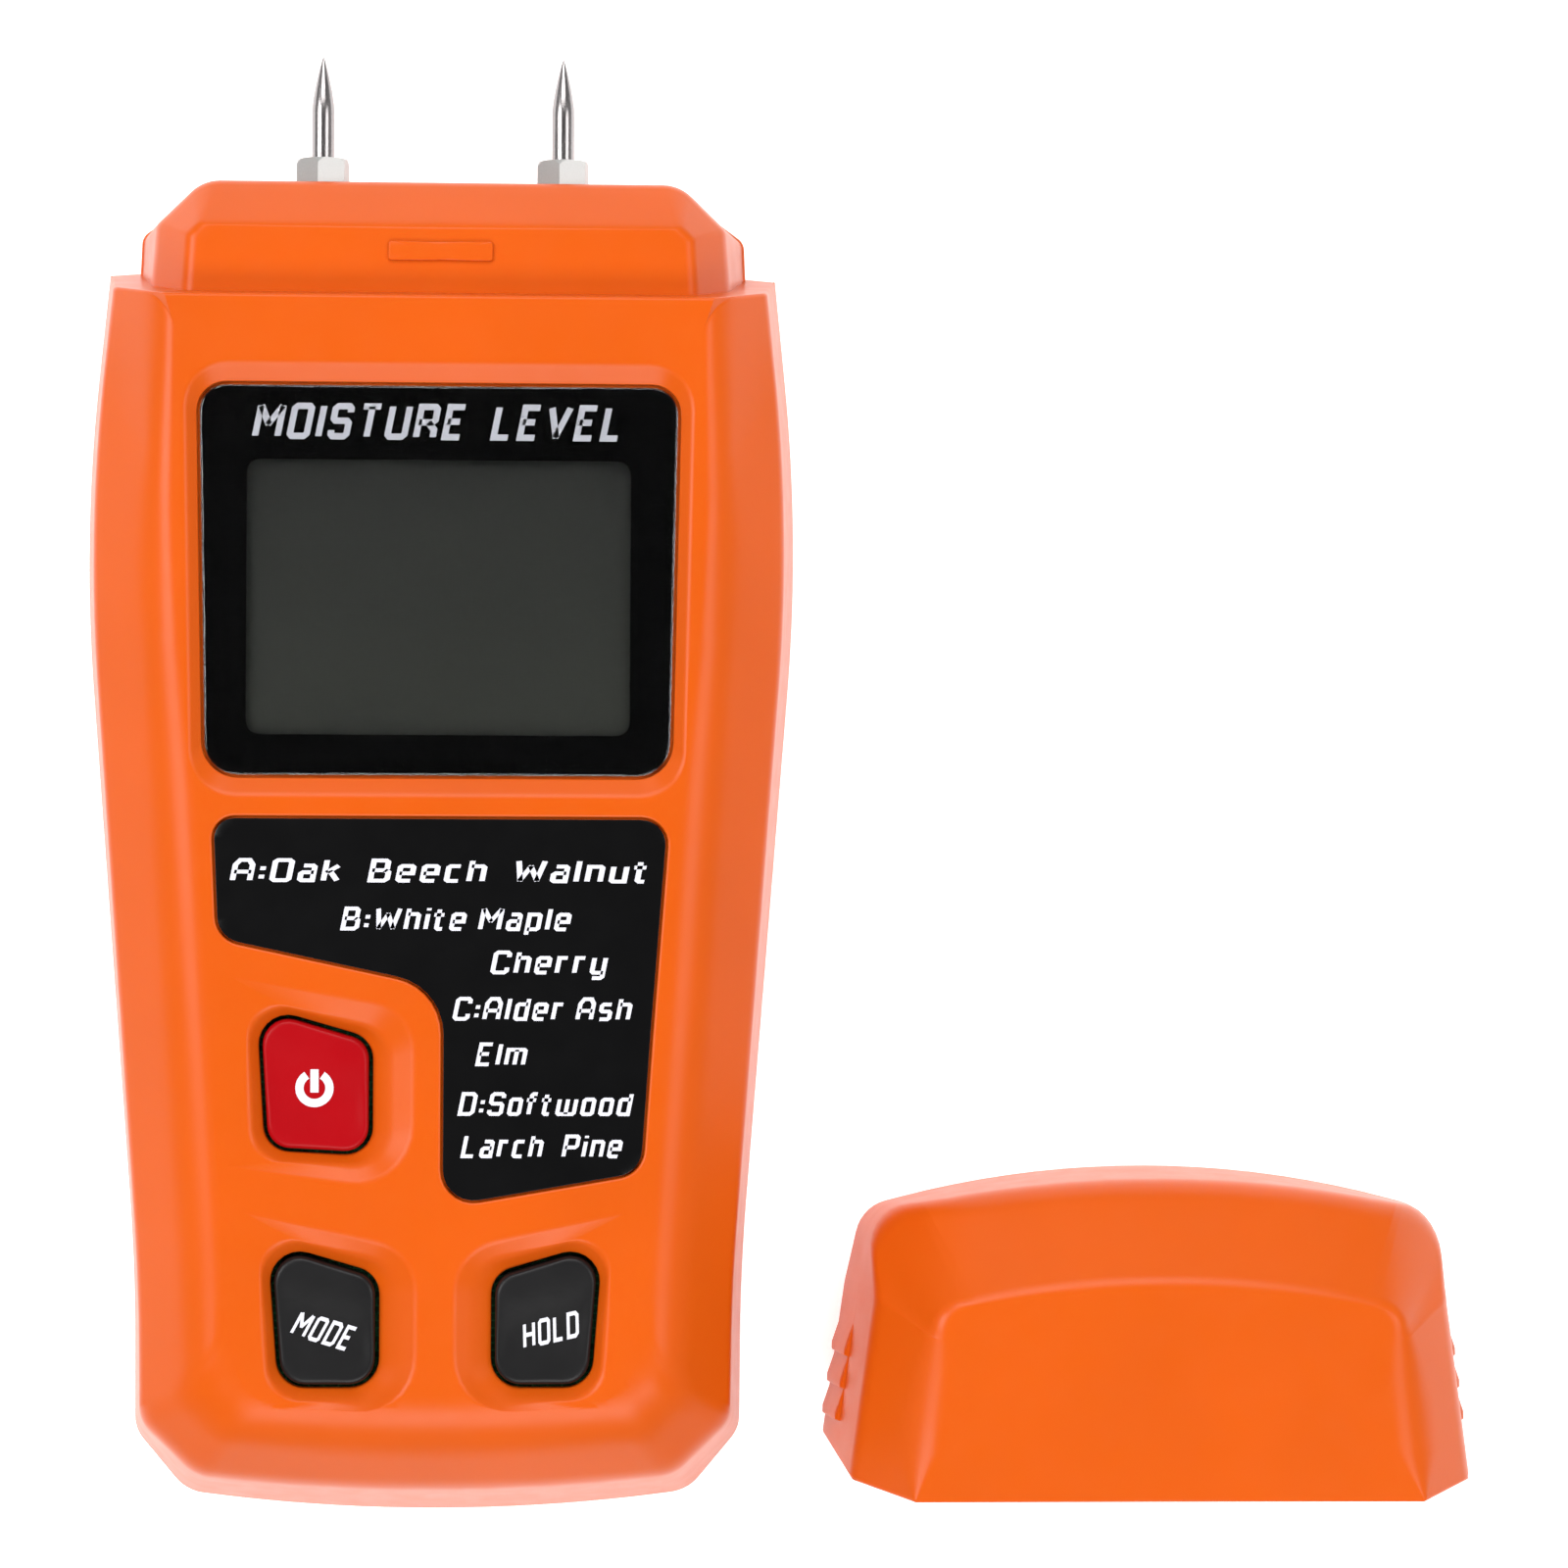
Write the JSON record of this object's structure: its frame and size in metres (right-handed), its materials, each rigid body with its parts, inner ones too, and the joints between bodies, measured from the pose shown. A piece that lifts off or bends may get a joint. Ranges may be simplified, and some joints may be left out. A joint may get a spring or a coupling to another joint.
{
  "type": "wood moisture meter",
  "caption": "Handheld wood moisture meter with a display, push keys, needle electrodes on a stepped head and a slip-on pin cap standing beside it.",
  "frame": {"origin": "middle of the flat back that the meter lies on, half way along the housing without its pins", "axes": "+Z out of the display, +Y towards the pins, +X to the right of the display"},
  "size_m": [0.1369, 0.1426, 0.028],
  "materials": {
    "housing": "moulded orange ABS, fine matt texture",
    "window": "clear acrylic with black print behind it, glossy",
    "label": "black printed polyester film, satin",
    "power_key": "red silicone key, matt",
    "black_key": "black silicone key, matt",
    "display_glass": "liquid crystal cell, grey-green",
    "display_frame": "black moulded frame",
    "contact_strip": "layered conductive rubber",
    "switch_case": "black switch housing",
    "plunger": "buff plastic plunger",
    "board": "green solder-masked glass epoxy",
    "chip": "black moulded package",
    "component": "small parts in mixed packages",
    "screw": "zinc-plated steel screws",
    "needle": "hardened polished steel",
    "nut": "nickel-plated steel",
    "terminal": "tinned brass",
    "battery_can": "printed steel jacket",
    "snap": "black vinyl",
    "lead_red": "red PVC insulation",
    "lead_black": "black PVC insulation"
  },
  "bodies": {
    "meter": {"front_shell": "housing", "rear_shell": "housing", "display_window": "window", "species_label": "label", "lcd_glass": "display_glass", "lcd_frame": "display_frame", "zebra_strips": "contact_strip", "switch_bodies": "switch_case", "main_board": "board", "microcontroller": "chip", "board_components": "component", "board_screws": "screw", "housing_screws": "screw", "battery": "battery_can", "battery_snap": "snap", "battery_lead_positive": "lead_red", "battery_lead_negative": "lead_black", "electrode_pin_left": "needle", "pin_nut_left": "nut", "pin_lock_nut_left": "nut", "terminal_lug_left": "terminal", "electrode_pin_right": "needle", "pin_nut_right": "nut", "pin_lock_nut_right": "nut", "terminal_lug_right": "terminal", "electrode_lead_left": "lead_black", "electrode_lead_right": "lead_red"},
    "power_key": {"power_button": "power_key", "power_switch_plunger": "plunger"},
    "mode_key": {"mode_button": "black_key", "mode_switch_plunger": "plunger"},
    "hold_key": {"hold_button": "black_key", "hold_switch_plunger": "plunger"},
    "door": {"battery_door": "housing"},
    "cap": {"cap_shell": "housing"}
  },
  "joints": [
    {"name": "power_press", "type": "slide", "parent": "meter", "child": "power_key", "axis": [0, 0, -1], "range_m": [0, 0.0006], "stiffness_N_per_m": 1500},
    {"name": "mode_press", "type": "slide", "parent": "meter", "child": "mode_key", "axis": [0, 0, -1], "range_m": [0, 0.0006], "stiffness_N_per_m": 1500},
    {"name": "hold_press", "type": "slide", "parent": "meter", "child": "hold_key", "axis": [0, 0, -1], "range_m": [0, 0.0006], "stiffness_N_per_m": 1500},
    {"name": "battery_door_slide", "type": "slide", "parent": "meter", "child": "door", "axis": [0, -1, 0], "range_m": [0, 0.058]},
    {"name": "cap_slide", "type": "slide", "parent": "meter", "child": "cap", "axis": [0, 1, 0], "range_m": [0, 0.1145]}
  ]
}
